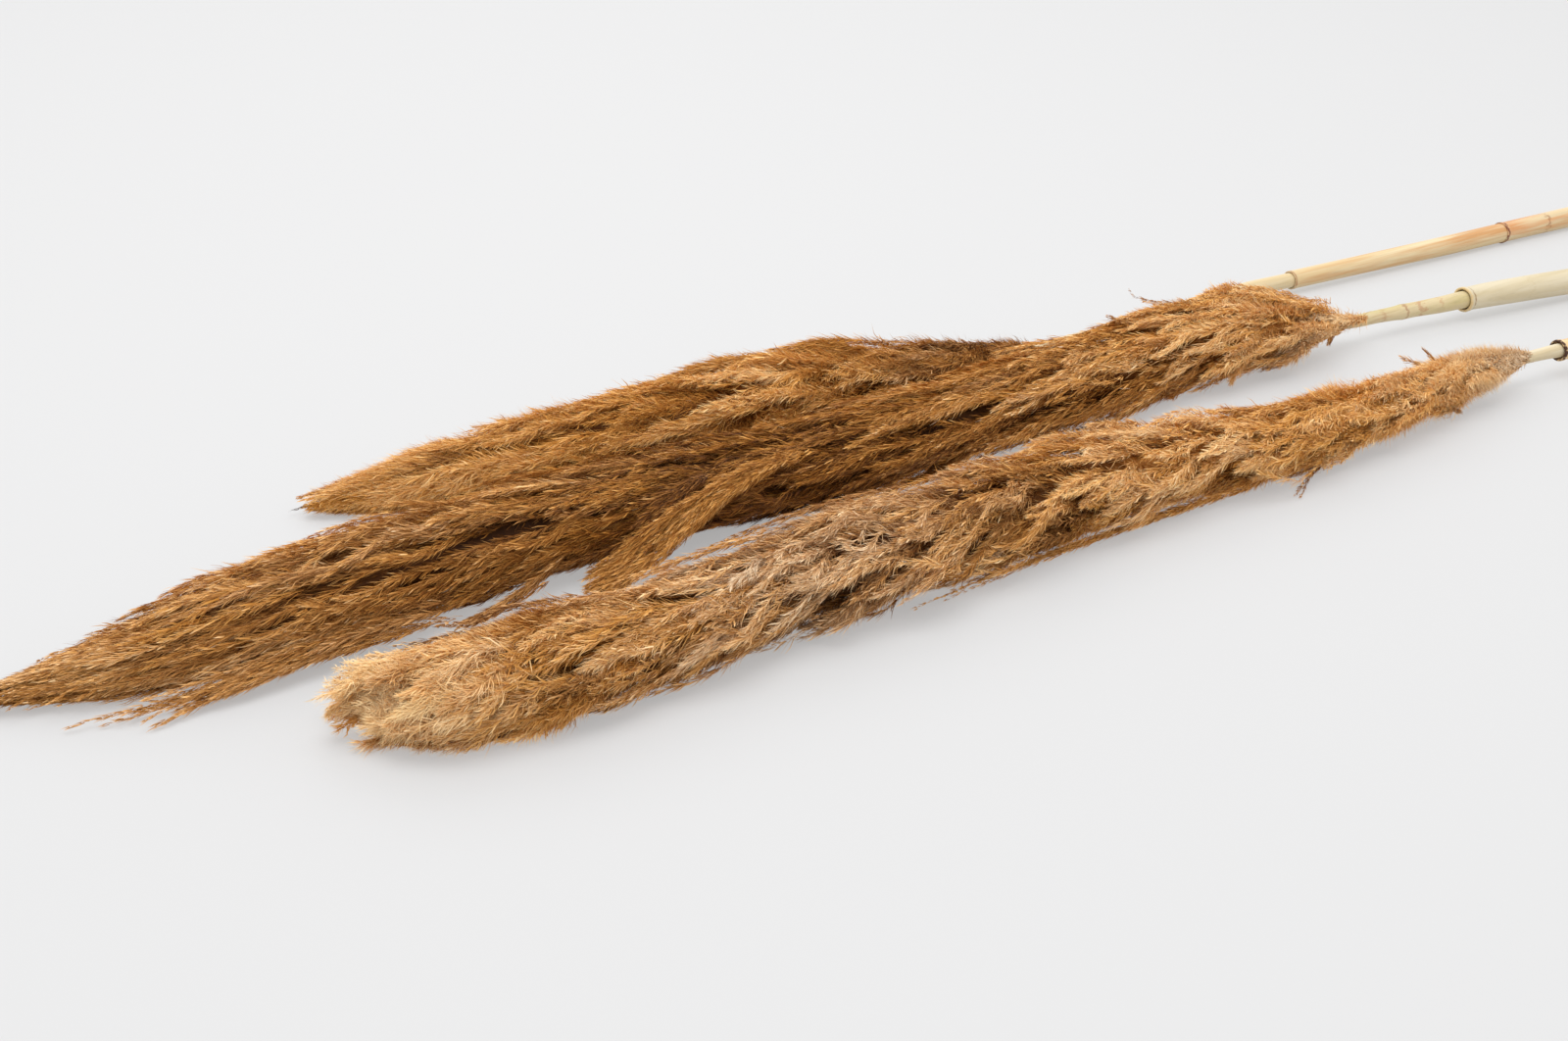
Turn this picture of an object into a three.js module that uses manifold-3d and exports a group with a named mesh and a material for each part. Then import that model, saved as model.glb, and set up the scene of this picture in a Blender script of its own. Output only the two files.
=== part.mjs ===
// A bundle of three cut and dried pampas grass stems, lying loose and nearly
// parallel on a flat surface. Millimetres, +Z up, +X towards the cut ends, the
// plume tips at -X. The origin is under the centre of the bundle's box.
//
// Each stem is one cane (culm) that runs on through its plume as the rachis,
// the leaf sheath or sheaths that wrap the cane, and the plume's side
// branches, which grow out of the rachis in tiers of three and lie over each
// other towards the tip like shingles.

import * as THREE from 'three';
import Module from 'manifold-3d';

const wasm = await Module();
wasm.setup();

// ---- driving dimensions (mm) ----------------------------------------------

const ORIGIN_X = 705; // where the box centre lies in the station coordinates
const ORIGIN_Y = 739.7;
const TIER_GAP = 0.5; // radial clearance between one tier and the next
const SIDE_GAP = 0.42; // clearance between neighbours in a tier
const RACHIS_GAP = 0.6;
const SHEATH_GAP = 0.35; // sheath bore over the cane
const TIP_LIFT = 0.8; // how far the free tips stand off the tier below
const COVERED = 0.84; // share of the plume radius at which a tier emerges
const GRID = 20; // stations along a plume
const CANE_SIDES = 8;

// Plume stations from base to tip: x, y, height of the axis, half width, half height.
const BACK_PLUME = [
  [700, 820, 13, 6.5, 5.6], [682, 819.5, 14, 9.5, 8], [660, 819.5, 14.5, 13, 10.5],
  [638, 819.5, 15.5, 16.5, 13], [589, 820, 17.5, 23, 18], [535, 818, 20, 28, 21.6],
  [485, 818, 20.2, 28.5, 21.9], [456, 821, 19.2, 26.5, 20.4], [398, 828.5, 16.5, 23, 17.5],
  [360, 835, 13.6, 18.5, 14.4], [340, 842, 10.4, 12.5, 9.9], [322, 850, 7.6, 7, 6],
  [304, 856.6, 5.8, 3.9, 3.5],
];
const MIDDLE_PLUME = [
  [868, 751, 15, 6.5, 5.8], [847, 751.5, 15.5, 9.5, 8.2], [818, 752, 17.5, 17.5, 14],
  [793, 755, 19, 23.5, 18], [768, 759, 19.5, 26.5, 20], [740, 761, 20, 28.5, 21.5],
  [692, 756, 20.5, 29.5, 22], [632, 752, 20, 28.5, 21.3], [592, 749, 19.2, 26.5, 20.4],
  [540, 746, 18.6, 26, 20.2], [496, 745, 18.6, 26, 20.2], [416, 749, 19.4, 26.5, 20.6],
  [344, 749, 20.2, 27.5, 21.2], [303, 745, 20.6, 28.5, 21.7], [260, 742, 19.6, 28.5, 21.2],
  [220, 742.5, 16.3, 23, 17.4], [184, 747, 11.8, 15.5, 12], [165, 751, 9.4, 10.5, 8.3],
  [148, 755, 7.4, 5.5, 4.8],
];
const FRONT_PLUME = [
  [893, 661, 15, 6, 5.6], [865, 661.5, 15.5, 10, 8], [834, 660, 16, 13.5, 10.5],
  [801, 656, 16.5, 17, 13], [768, 651.5, 16.5, 19, 14.8], [713, 650, 17, 22.5, 17.4],
  [670, 654, 17.5, 23.5, 18.2], [621, 654.5, 19, 26.5, 20.2], [577, 654, 20, 28.4, 21.4],
  [530, 651.5, 20.8, 30, 22.4], [489, 651, 21.2, 30.5, 22.7], [449, 649.5, 20.8, 29.5, 22.2],
  [409, 646, 19.9, 27.5, 21], [370, 643, 19.4, 26.4, 20.4], [337, 643.5, 19.4, 27, 20.6],
  [304, 644.5, 18.8, 25.5, 19.8], [276, 647, 17.6, 23, 18.2], [259, 652, 15.6, 17.5, 14.4],
  [246, 659, 12.6, 9, 8],
];

// Cane stations from the plume's base to the cut end: x, y, height, radius.
const BACK_CANE = [
  [760, 826, 11.5, 3.7], [820, 831, 10, 3.9], [866, 833.5, 8.9, 4.1], [897, 832, 8.1, 4.3],
  [960, 830, 6.9, 4.5], [1020, 828.6, 6.3, 4.9], [1070, 827.6, 6.2, 5.0], [1134, 825.5, 6.3, 5.2],
  [1262, 821, 6.1, 5.5],
];
const MIDDLE_CANE = [
  [880, 752, 14.6, 3.5], [896, 751.4, 14.1, 3.8], [901, 751.2, 13.9, 4.3], [906, 751, 13.8, 4.0],
  [928, 748.6, 13, 4.5], [948, 746.8, 12.2, 4.9], [962, 745, 11.7, 5.3], [995, 741.5, 10.4, 5.6],
  [1060, 734, 8.4, 5.9], [1150, 723.5, 7.0, 6.0], [1246, 712, 6.75, 6.1],
];
const FRONT_CANE = [
  [900, 661, 14.8, 3.1], [913, 660.6, 14.4, 3.5], [930, 659, 13.7, 4.2], [975, 655, 11.7, 4.6],
  [1060, 647, 8.7, 5.0], [1150, 638, 6.6, 5.2], [1237, 629, 6.0, 5.3],
];

// Leaf sheaths: from, to along the stem, wall thickness at the mouth and at the
// cut end, bore clearance at the mouth, and how proud the collar at the mouth is.
const SHEATHS = {
  back: [
    { node: 'back_upper_sheath', from: 898, to: 1104, wall: 0.6, wallEnd: 0.4, mouth: SHEATH_GAP, collar: 0.15 },
    { node: 'back_lower_sheath', from: 1073, to: 1262, wall: 0.6, wallEnd: 0.9, mouth: SHEATH_GAP, collar: 0.1, over: true },
  ],
  middle: [
    { node: 'middle_sheath', from: 950, to: 1246, wall: 1.2, wallEnd: 1.0, mouth: 0.9, collar: 0.35 },
  ],
  front: [
    { node: 'front_sheath', from: 916, to: 1237, wall: 1.1, wallEnd: 1.0, mouth: 0.9, collar: 0.3 },
  ],
};

// Tiers of side branches: from, to as shares of the plume's length, and the
// directions of the three branches (0 is +Y, 90 is up).
const PEAK = [['top', 90], ['front', 210], ['rear', 330]];
const VALLEY = [['rear', 30], ['front', 150], ['under', 270]];
const PLUMES = {
  back: {
    stations: BACK_PLUME, colour: [0xb07434, 0x9c6228, 0xbb8240], rachisEnd: 0.85, spread: 1.2, twist: 18,
    tiers: [['base', 0, 0.45, VALLEY], ['middle', 0.2, 0.75, PEAK], ['tip', 0.5, 1, VALLEY]],
  },
  middle: {
    stations: MIDDLE_PLUME, colour: [0x8a5a2c, 0x7a4d26, 0x966535], rachisEnd: 0.9, spread: 6, twist: -16,
    tiers: [['base', 0, 0.35, PEAK], ['lower', 0.15, 0.6, VALLEY], ['upper', 0.35, 0.8, PEAK], ['tip', 0.55, 1, VALLEY]],
  },
  front: {
    stations: FRONT_PLUME, colour: [0xb98a54, 0xa97a48, 0xc79a66], rachisEnd: 0.9, spread: 2.5, twist: 14,
    tiers: [['base', 0, 0.35, VALLEY], ['lower', 0.15, 0.6, PEAK], ['upper', 0.35, 0.8, VALLEY], ['tip', 0.55, 1, PEAK]],
  },
};
const RACHIS_TIP_R = 0.9;

// Two branches that have dropped out of their plumes: x, y, height, radius.
const HANGING_BRANCH = [
  [498, 728, 29.5, 2.2], [476, 720.5, 27, 4.2], [452, 715.5, 20.5, 5.8], [424, 713, 13.5, 7.2],
  [402, 712, 9, 7], [385, 711, 6, 4.8], [368, 710.4, 3.4, 1.7],
];
const TRAILING_BRANCH = [
  [702, 638, 8, 1.6], [672, 633.6, 5, 2.3], [640, 632.6, 3.2, 2.5], [590, 631.4, 2.8, 2.7],
  [545, 628.4, 2.7, 2.5], [515, 626, 2.3, 2.0], [484, 622.5, 1.7, 1.1],
];

// ---- curves and lofts -------------------------------------------------------

const clamp = (v, a, b) => Math.min(b, Math.max(a, v));
const smooth = (a, b, v) => { const t = clamp((v - a) / (b - a), 0, 1); return t * t * (3 - 2 * t); };
const rad = (deg) => (deg * Math.PI) / 180;

// A smooth table through the stations, read by x.
function table(rows) {
  const xyz = new THREE.CatmullRomCurve3(rows.map((r) => new THREE.Vector3(r[0], r[1], r[2])), false, 'centripetal');
  const rest = new THREE.CatmullRomCurve3(rows.map((r) => new THREE.Vector3(r[0], r[3], r[4] ?? r[3])), false, 'centripetal');
  const sample = (curve) => {
    const points = [];
    const n = 16 * (rows.length - 1);
    for (let i = 0; i <= n; i++) points.push(curve.getPoint(i / n));
    return points.sort((a, b) => a.x - b.x);
  };
  const read = (points, x) => {
    if (x <= points[0].x) return points[0];
    for (let i = 1; i < points.length; i++) {
      if (x <= points[i].x) {
        const t = (x - points[i - 1].x) / (points[i].x - points[i - 1].x || 1);
        return points[i - 1].clone().lerp(points[i], t);
      }
    }
    return points[points.length - 1];
  };
  const a = sample(xyz);
  const b = sample(rest);
  return (x) => {
    const p = read(a, x);
    const q = read(b, x);
    return { x, y: p.y, z: p.z, w: q.y, t: q.z };
  };
}

// A closed skin over equal rings of points; inner rings make it a tube.
function loft(rings, innerRings = null) {
  const position = [];
  const index = [];
  const add = (set) => set.map((ring) => ring.map((p) => position.push(p[0] - ORIGIN_X, p[1] - ORIGIN_Y, p[2]) / 3 - 1));
  const skin = (ids, flip) => {
    for (let i = 0; i + 1 < ids.length; i++) {
      const n = ids[i].length;
      for (let j = 0; j < n; j++) {
        const k = (j + 1) % n;
        const [a, b, c, d] = [ids[i][j], ids[i + 1][j], ids[i + 1][k], ids[i][k]];
        index.push(...(flip ? [a, c, b, a, d, c] : [a, b, c, a, c, d]));
      }
    }
  };
  const outer = add(rings);
  skin(outer, false);
  const last = outer.length - 1;
  const n = outer[0].length;
  if (innerRings) {
    const inner = add(innerRings);
    skin(inner, true);
    for (let j = 0; j < n; j++) {
      const k = (j + 1) % n;
      index.push(outer[0][j], outer[0][k], inner[0][k], outer[0][j], inner[0][k], inner[0][j]);
      index.push(outer[last][j], inner[last][k], outer[last][k], outer[last][j], inner[last][j], inner[last][k]);
    }
  } else {
    for (let j = 1; j + 1 < n; j++) {
      index.push(outer[0][0], outer[0][j], outer[0][j + 1]);
      index.push(outer[last][0], outer[last][j + 1], outer[last][j]);
    }
  }
  const geometry = new THREE.BufferGeometry();
  geometry.setAttribute('position', new THREE.Float32BufferAttribute(position, 3));
  geometry.setIndex(index);
  return geometry;
}

function solidOf(geometry) {
  const made = (flip) => {
    const triVerts = new Uint32Array(geometry.index.array);
    if (flip) for (let i = 0; i < triVerts.length; i += 3) [triVerts[i], triVerts[i + 1]] = [triVerts[i + 1], triVerts[i]];
    return new wasm.Manifold(new wasm.Mesh({
      numProp: 3, vertProperties: new Float32Array(geometry.attributes.position.array), triVerts,
    }));
  };
  const body = made(false);
  return body.volume() < 0 ? made(true) : body;
}

// The body above the surface that the bundle lies on, with its underside cut
// flat, and clear of another body if one is given.
function rest(geometry, clearOf) {
  let body = solidOf(geometry).trimByPlane([0, 0, 1], 0);
  if (clearOf) body = body.subtract(solidOf(clearOf));
  body = body.simplify(0.05);
  const parts = body.decompose().sort((a, b) => b.volume() - a.volume());
  const out = parts[0].getMesh();
  const made = new THREE.BufferGeometry();
  const count = out.vertProperties.length / out.numProp;
  const position = new Float32Array(count * 3);
  for (let i = 0; i < count; i++) {
    for (let k = 0; k < 3; k++) position[3 * i + k] = out.vertProperties[i * out.numProp + k];
  }
  made.setAttribute('position', new THREE.BufferAttribute(position, 3));
  made.setIndex(new THREE.BufferAttribute(new Uint32Array(out.triVerts), 1));
  made.computeVertexNormals();
  return made;
}

const group = new THREE.Group();
group.name = 'pampas_grass_bundle';

function piece(name, geometry, colour, roughness, clearOf = null) {
  const mesh = new THREE.Mesh(rest(geometry, clearOf), new THREE.MeshStandardMaterial({ color: colour, roughness, metalness: 0 }));
  mesh.name = name;
  group.add(mesh);
}

// ---- side branches ----------------------------------------------------------

function plumeOf(stem) {
  const plume = PLUMES[stem];
  const base = plume.stations[0][0];
  const tip = plume.stations[plume.stations.length - 1][0];
  const at = table(plume.stations);
  return { ...plume, base, tip, at: (q) => at(base + (tip - base) * q), x: (q) => base + (tip - base) * q };
}

// Rachis radius along the plume, from the cane's radius at the plume's base.
const rachisRadius = (plume, caneRadius, q) => THREE.MathUtils.lerp(caneRadius, RACHIS_TIP_R, clamp(q / plume.rachisEnd, 0, 1));

function branches(stem, caneRadius) {
  const plume = plumeOf(stem);
  const qs = Array.from({ length: GRID + 1 }, (_, i) => i / GRID);

  // Outer radius of tier k as a share of the plume's, and its least value over the rachis.
  const rachisShare = (q) => {
    const r = q <= plume.rachisEnd + 0.021 ? rachisRadius(plume, caneRadius, q) + RACHIS_GAP : 0.4;
    return r / plume.at(q).t;
  };
  const outerShare = (k, q) => {
    if (k >= plume.tiers.length) return rachisShare(q);
    const from = plume.tiers[k][1];
    if (q < from - 1e-6) return rachisShare(q);
    const least = Math.min(0.9, rachisShare(q) + 1.6 / plume.at(q).t);
    if (k === 0) return THREE.MathUtils.lerp(least, 1, smooth(0, 0.07, q));
    const covered = plume.tiers[k - 1][2];
    const rise = COVERED * smooth(from - 0.02, covered, q);
    const out = rise + (1 - COVERED) * smooth(covered, covered + 0.1, q);
    return Math.max(least, out);
  };

  plume.tiers.forEach(([tierName, from, to, directions], k) => {
    directions.forEach(([side, degrees], which) => {
      const steps = qs.filter((q) => q >= from - 1e-6 && q <= to + 1e-6);
      const rings = steps.map((q) => {
        const s = plume.at(q);
        const share = (q - from) / (to - from);
        const last = k === plume.tiers.length - 1;
        const narrow = last ? 1 - 0.35 * smooth(0.8, 1, share) : 1 - 0.82 * smooth(0.55, 1, share);
        const lift = last ? 0 : TIP_LIFT * smooth(0.5, 0.8, share);
        const inner = outerShare(k + 1, q) + (k + 1 < plume.tiers.length && q >= plume.tiers[k + 1][1] - 1e-6
          ? (TIER_GAP + lift) / s.t : 0);
        let outer = outerShare(k, q);
        outer = Math.max(outer, inner + (last ? 0.7 : 1.4) / s.t);
        if (!last) outer = THREE.MathUtils.lerp(outer, inner + 1.1 / s.t, smooth(0.8, 1, share));
        const twist = plume.twist * q;
        const out = last ? plume.spread * [1, 0.8, 0.35][which] * smooth(0.6, 1, share) : 0;
        const mid = rad(degrees + twist);
        const point = (ratio, angle) => [
          s.x,
          s.y + ratio * s.w * Math.cos(angle) + out * Math.cos(mid),
          Math.max(-3, s.z + ratio * s.t * Math.sin(angle) + out * 0.7 * Math.sin(mid)),
        ];
        const arc = (ratio, n) => {
          const trim = Math.asin(Math.min(0.85, SIDE_GAP / 2 / Math.max(0.25, ratio * s.t)));
          const half = Math.max(rad(4), rad(60) * narrow - trim);
          return Array.from({ length: n }, (_, i) => mid - half + (2 * half * i) / (n - 1));
        };
        const outerArc = arc(outer, 5).map((angle) => point(outer, angle));
        const innerArc = arc(inner, 5).reverse().map((angle) => point(inner, angle));
        return [...outerArc, ...innerArc];
      });
      const colour = plume.colour[(which + k) % plume.colour.length];
      piece(`${stem}_${tierName}_${side}_branch`, loft(rings), colour, 0.95);
    });
  });
}

// ---- canes and sheaths --------------------------------------------------------

function ring(x, y, z, r, sides = CANE_SIDES) {
  return Array.from({ length: sides }, (_, i) => {
    const a = (2 * Math.PI * (i + 0.5)) / sides + Math.PI / 2;
    return [x, y + r * Math.cos(a), z + r * Math.sin(a)];
  });
}

function cane(stem, stations, colour) {
  const plume = plumeOf(stem);
  const rings = [];
  const radius = stations[0][3] - 0.1;
  for (let i = Math.round(plume.rachisEnd * GRID); i >= 0; i--) {
    const q = i / GRID;
    const s = plume.at(q);
    rings.push(ring(s.x, s.y, s.z, rachisRadius(plume, radius, q)));
  }
  for (const [x, y, z, r] of stations) rings.push(ring(x, y, z, r));
  piece(`${stem}_cane`, loft(rings), colour, 0.6);
  return radius;
}

function sheaths(stem, stations, colours) {
  const cane = table(stations);
  let below = null;
  SHEATHS[stem].forEach((sheath, i) => {
    const xs = [0, 1.6, 3.2, 12, 40, 90, 150, 220, 400]
      .map((d) => sheath.from + d).filter((x) => x < sheath.to - 8).concat([sheath.to]);
    const outer = [];
    const inner = [];
    const outside = (x) => {
      const share = (x - sheath.from) / (sheath.to - sheath.from);
      const wall = THREE.MathUtils.lerp(sheath.wall, sheath.wallEnd, share);
      const collar = sheath.collar * (1 - smooth(sheath.from + 1.7, sheath.from + 3.3, x));
      return { bore: boreAt(x, sheath), out: boreAt(x, sheath) + wall + collar };
    };
    const boreAt = (x, s) => {
      const gap = THREE.MathUtils.lerp(s.mouth, SHEATH_GAP, smooth(s.from, s.from + 40, x));
      let bore = cane(x).w + gap;
      if (s.over && below) {
        // This sheath holds the one above it as well as the cane.
        const covered = below.outside(x).out + SHEATH_GAP;
        bore = x <= below.to + 2 ? Math.max(bore, covered) : THREE.MathUtils.lerp(covered, bore, smooth(below.to + 2, below.to + 30, x));
      }
      return bore;
    };
    for (const x of xs) {
      const c = cane(x);
      const { bore, out } = outside(x);
      outer.push(ring(x, c.y, c.z, out));
      inner.push(ring(x, c.y, c.z, bore));
    }
    piece(sheath.node, loft(outer, inner), colours[i], 0.65);
    below = { outside, to: sheath.to };
  });
}

// The plume's outside with a clearance all round.
function envelope(stem) {
  const plume = plumeOf(stem);
  const rings = Array.from({ length: GRID + 1 }, (_, i) => {
    const s = plume.at(i / GRID);
    const turn = rad(plume.twist * (i / GRID));
    return Array.from({ length: 12 }, (__, j) => {
      const a = (j * Math.PI) / 6 + turn;
      return [s.x, s.y + (s.w + 0.5) * Math.cos(a), s.z + (s.t + 0.5) * Math.sin(a)];
    });
  });
  return loft(rings);
}

// A branch that has dropped out of its plume starts at the plume's side.
function looseBranch(name, stem, stations, colour) {
  const at = table(stations);
  const from = stations[0][0];
  const to = stations[stations.length - 1][0];
  const rings = Array.from({ length: 11 }, (_, i) => {
    const s = at(from + ((to - from) * i) / 10);
    return ring(s.x, s.y, s.z, s.w, 8);
  });
  piece(name, loft(rings.reverse()), colour, 0.95, envelope(stem));
}

// ---- the bundle -----------------------------------------------------------------

const backR = cane('back', BACK_CANE, 0xd9c08c);
const middleR = cane('middle', MIDDLE_CANE, 0xdfd0a0);
const frontR = cane('front', FRONT_CANE, 0xdfd0a8);
sheaths('back', BACK_CANE, [0xdcbd84, 0xe0c08a]);
sheaths('middle', MIDDLE_CANE, [0xddd2ae]);
sheaths('front', FRONT_CANE, [0xd9c9a2]);
branches('back', backR);
branches('middle', middleR);
branches('front', frontR);
looseBranch('middle_hanging_branch', 'middle', HANGING_BRANCH, 0x8f5f33);
looseBranch('front_trailing_branch', 'front', TRAILING_BRANCH, 0xb07c40);

export default group;
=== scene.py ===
import math

import bpy
import numpy as np
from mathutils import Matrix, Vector


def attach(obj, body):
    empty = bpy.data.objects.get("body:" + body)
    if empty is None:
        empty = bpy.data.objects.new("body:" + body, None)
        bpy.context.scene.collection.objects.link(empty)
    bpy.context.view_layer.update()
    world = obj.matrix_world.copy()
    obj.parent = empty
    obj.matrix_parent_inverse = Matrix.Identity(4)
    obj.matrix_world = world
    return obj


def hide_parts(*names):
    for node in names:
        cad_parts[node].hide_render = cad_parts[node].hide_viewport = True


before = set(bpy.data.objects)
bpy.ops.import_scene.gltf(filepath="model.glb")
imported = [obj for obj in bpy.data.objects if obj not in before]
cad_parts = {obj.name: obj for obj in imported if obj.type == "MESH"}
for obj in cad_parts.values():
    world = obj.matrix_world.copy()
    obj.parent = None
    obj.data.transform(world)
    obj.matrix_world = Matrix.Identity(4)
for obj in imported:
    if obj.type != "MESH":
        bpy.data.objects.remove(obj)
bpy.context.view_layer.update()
rng = np.random.default_rng(20)
TAU = 2 * math.pi
MM = 0.001

# ---------------------------------------------------------------- the layout, in the part's own millimetres
ORIGIN = np.array([705.0, 739.7, 0.0])

BACK_PLUME = [
    (700, 820, 9.2, 6.5, 5.6), (682, 819.5, 11, 9.5, 8), (660, 819.5, 13, 13, 10.5),
    (638, 819.5, 15.5, 16.5, 13), (589, 820, 17.5, 23, 18), (535, 818, 20, 28, 21.6),
    (485, 818, 20.2, 28.5, 21.9), (456, 821, 19.2, 26.5, 20.4), (398, 828.5, 16.5, 23, 17.5),
    (360, 835, 13.6, 18.5, 14.4), (340, 842, 10.4, 12.5, 9.9), (322, 850, 7.6, 7, 6),
    (304, 856.6, 5.8, 3.9, 3.5),
]
MIDDLE_PLUME = [
    (868, 751, 13, 6.5, 5.8), (847, 751.5, 14.5, 9.5, 8.2), (818, 752, 17.5, 17.5, 14),
    (793, 755, 19, 23.5, 18), (768, 759, 19.5, 26.5, 20), (740, 761, 20, 28.5, 21.5),
    (692, 756, 20.5, 29.5, 22), (632, 752, 20, 28.5, 21.3), (592, 749, 19.2, 26.5, 20.4),
    (540, 746, 18.6, 26, 20.2), (496, 745, 18.6, 26, 20.2), (416, 749, 19.4, 26.5, 20.6),
    (344, 749, 20.2, 27.5, 21.2), (303, 745, 20.6, 28.5, 21.7), (260, 742, 19.6, 28.5, 21.2),
    (220, 742.5, 16.3, 23, 17.4), (184, 747, 11.8, 15.5, 12), (165, 751, 9.4, 10.5, 8.3),
    (148, 755, 7.4, 5.5, 4.8),
]
FRONT_PLUME = [
    (893, 661, 15, 6, 5.6), (865, 661.5, 15.5, 10, 8), (834, 660, 16, 13.5, 10.5),
    (801, 656, 16.5, 17, 13), (768, 651.5, 16.5, 19, 14.8), (713, 650, 17, 22.5, 17.4),
    (670, 654, 17.5, 23.5, 18.2), (621, 654.5, 19, 26.5, 20.2), (577, 654, 20, 28.4, 21.4),
    (530, 651.5, 20.8, 30, 22.4), (489, 651, 21.2, 30.5, 22.7), (449, 649.5, 20.8, 29.5, 22.2),
    (409, 646, 19.9, 27.5, 21), (370, 643, 19.4, 26.4, 20.4), (337, 643.5, 19.4, 27, 20.6),
    (304, 644.5, 18.8, 25.5, 19.8), (276, 647, 17.6, 23, 18.2), (259, 652, 15.6, 17.5, 14.4),
    (246, 659, 12.6, 9, 8),
]
BACK_CANE = [
    (760, 825, 7.0, 3.7), (820, 831, 7.2, 3.9), (866, 833.5, 7.6, 4.1), (897, 832, 7.2, 4.3),
    (960, 830, 6.9, 4.5), (1020, 828.6, 6.3, 4.9), (1070, 827.6, 6.2, 5.0), (1134, 825.5, 6.3, 5.2),
    (1262, 821, 6.1, 5.5),
]
MIDDLE_CANE = [
    (880, 752, 12.3, 3.5), (896, 751.4, 11.6, 3.8), (901, 751.2, 11.4, 4.3), (906, 751, 11.3, 4.0),
    (928, 748.6, 10.9, 4.5), (948, 746.8, 11.2, 4.9), (962, 745, 11.3, 5.3), (995, 741.5, 10.4, 5.6),
    (1060, 734, 8.4, 5.9), (1150, 723.5, 7.0, 6.0), (1246, 712, 6.75, 6.1),
]
FRONT_CANE = [
    (900, 661, 14.8, 3.1), (913, 660.6, 14.4, 3.5), (930, 659, 13.7, 4.2), (975, 655, 11.7, 4.6),
    (1060, 647, 8.7, 5.0), (1150, 638, 6.6, 5.2), (1237, 629, 6.0, 5.3),
]
HANGING_BRANCH = [
    (498, 728, 29.5, 2.2), (476, 720.5, 27, 4.2), (452, 715.5, 20.5, 5.8), (424, 713, 13.5, 7.2),
    (402, 712, 9, 7), (385, 711, 6, 4.8), (368, 710.4, 3.4, 1.7),
]
TRAILING_BRANCH = [
    (702, 638, 8, 1.6), (672, 633.6, 5, 2.3), (640, 632.6, 3.2, 2.5), (590, 631.4, 2.8, 2.7),
    (545, 628.4, 2.7, 2.5), (515, 626, 2.3, 2.0), (484, 622.5, 1.7, 1.1),
]
PEAK = [("top", 90), ("front", 210), ("rear", 330)]
VALLEY = [("rear", 30), ("front", 150), ("under", 270)]
TIERS = {
    "back": [("base", 0.45, VALLEY), ("middle", 0.75, PEAK), ("tip", 9, VALLEY)],
    "middle": [("base", 0.35, PEAK), ("lower", 0.6, VALLEY), ("upper", 0.8, PEAK), ("tip", 9, VALLEY)],
    "front": [("base", 0.35, VALLEY), ("lower", 0.6, PEAK), ("upper", 0.8, VALLEY), ("tip", 9, PEAK)],
}
TWIST = {"back": 18, "middle": -16, "front": 14}
TRIM = {  # how far the hair stays inside or passes the layout's radius: (share from the base, upper rear side, lower near side)
    "back": [(0, -0.22, 0), (0.1, -0.2, 0), (0.2, -0.13, 0), (0.5, -0.12, 0), (0.85, -0.12, -0.04), (0.95, -0.2, -0.12), (1, -0.3, -0.25)],
    "middle": [(0, -0.4, -0.35), (0.05, -0.18, -0.35), (0.10, 0.03, -0.13), (0.15, 0.07, 0.02), (0.2, -0.02, 0.06), (0.25, -0.08, 0), (0.32, -0.05, 0),
               (0.42, 0, 0), (0.5, 0, 0.04), (0.55, 0, -0.06), (0.8, -0.03, -0.02), (0.88, -0.07, 0), (0.95, -0.18, 0), (1, -0.3, -0.1)],
    "front": [(0, -0.4, -0.5), (0.05, -0.24, -0.42), (0.075, -0.16, -0.15), (0.095, -0.12, 0.20), (0.115, -0.12, 0.08), (0.14, -0.12, -0.20), (0.2, -0.16, -0.32),
              (0.235, -0.13, -0.14), (0.26, -0.10, -0.03), (0.3, -0.10, -0.08), (0.37, 0, -0.12), (0.5, -0.05, -0.08), (0.6, -0.06, -0.14), (0.66, -0.05, 0),
              (0.7, -0.06, 0.04), (0.75, -0.15, -0.06), (0.85, -0.10, 0.02), (0.95, -0.04, 0.10), (1, 0, 0.12)],
}


def smooth(a, b, v):
    t = np.clip((np.asarray(v, float) - a) / (b - a), 0, 1)
    return t * t * (3 - 2 * t)


def lerp(a, b, t):
    return a + (b - a) * t


def unit(v):
    return v / np.maximum(np.linalg.norm(v, axis=-1, keepdims=True), 1e-9)


def table(rows):
    """Columns of the rows against x, rounded off a little between the stations."""
    rows = np.array(sorted(rows), float)
    x = np.arange(rows[0, 0], rows[-1, 0] + 0.5, 1.0)
    cols = []
    for c in range(1, rows.shape[1]):
        y = np.interp(x, rows[:, 0], rows[:, c])
        k = 9
        pad = np.concatenate([np.full(k, y[0]), y, np.full(k, y[-1])])
        for _ in range(2):
            pad = np.convolve(pad, np.ones(k) / k, mode="same")
        cols.append(pad[k:-k])
    return lambda at: [np.interp(at, x, c) for c in cols]


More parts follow.
